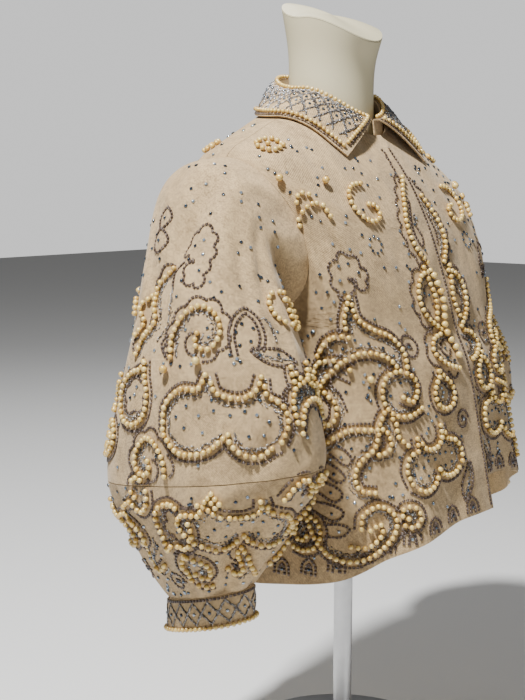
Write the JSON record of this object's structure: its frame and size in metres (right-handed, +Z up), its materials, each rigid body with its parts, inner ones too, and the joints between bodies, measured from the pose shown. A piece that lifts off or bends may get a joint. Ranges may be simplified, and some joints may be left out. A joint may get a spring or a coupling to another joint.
{
  "type": "beaded jacket on dress form",
  "caption": "Cropped jacket with full sleeves, pointed collar and pearl scroll beading, on a limbless dress form with a pole and a round base",
  "frame": {"origin": "bottom centre of the outer box, on the floor under the base", "axes": "+Z up, the jacket's front faces -Y, the wearer's right side is -X"},
  "size_m": [0.6674, 0.3698, 0.887],
  "materials": {
    "cloth": "tan twill wool with pearl, bugle bead and stone embroidery",
    "form": "smooth ivory, satin",
    "metal": "satin"
  },
  "bodies": {
    "root": {"front_right": "cloth", "front_left": "cloth", "back": "cloth", "sleeve_upper_right": "cloth", "sleeve_upper_left": "cloth", "sleeve_lower_right": "cloth", "sleeve_lower_left": "cloth", "cuff_right": "cloth", "cuff_left": "cloth", "collar": "cloth", "collar_stand": "cloth", "dress_form": "form", "neck_cap": "form", "pole": "metal", "base": "metal"}
  },
  "joints": []
}
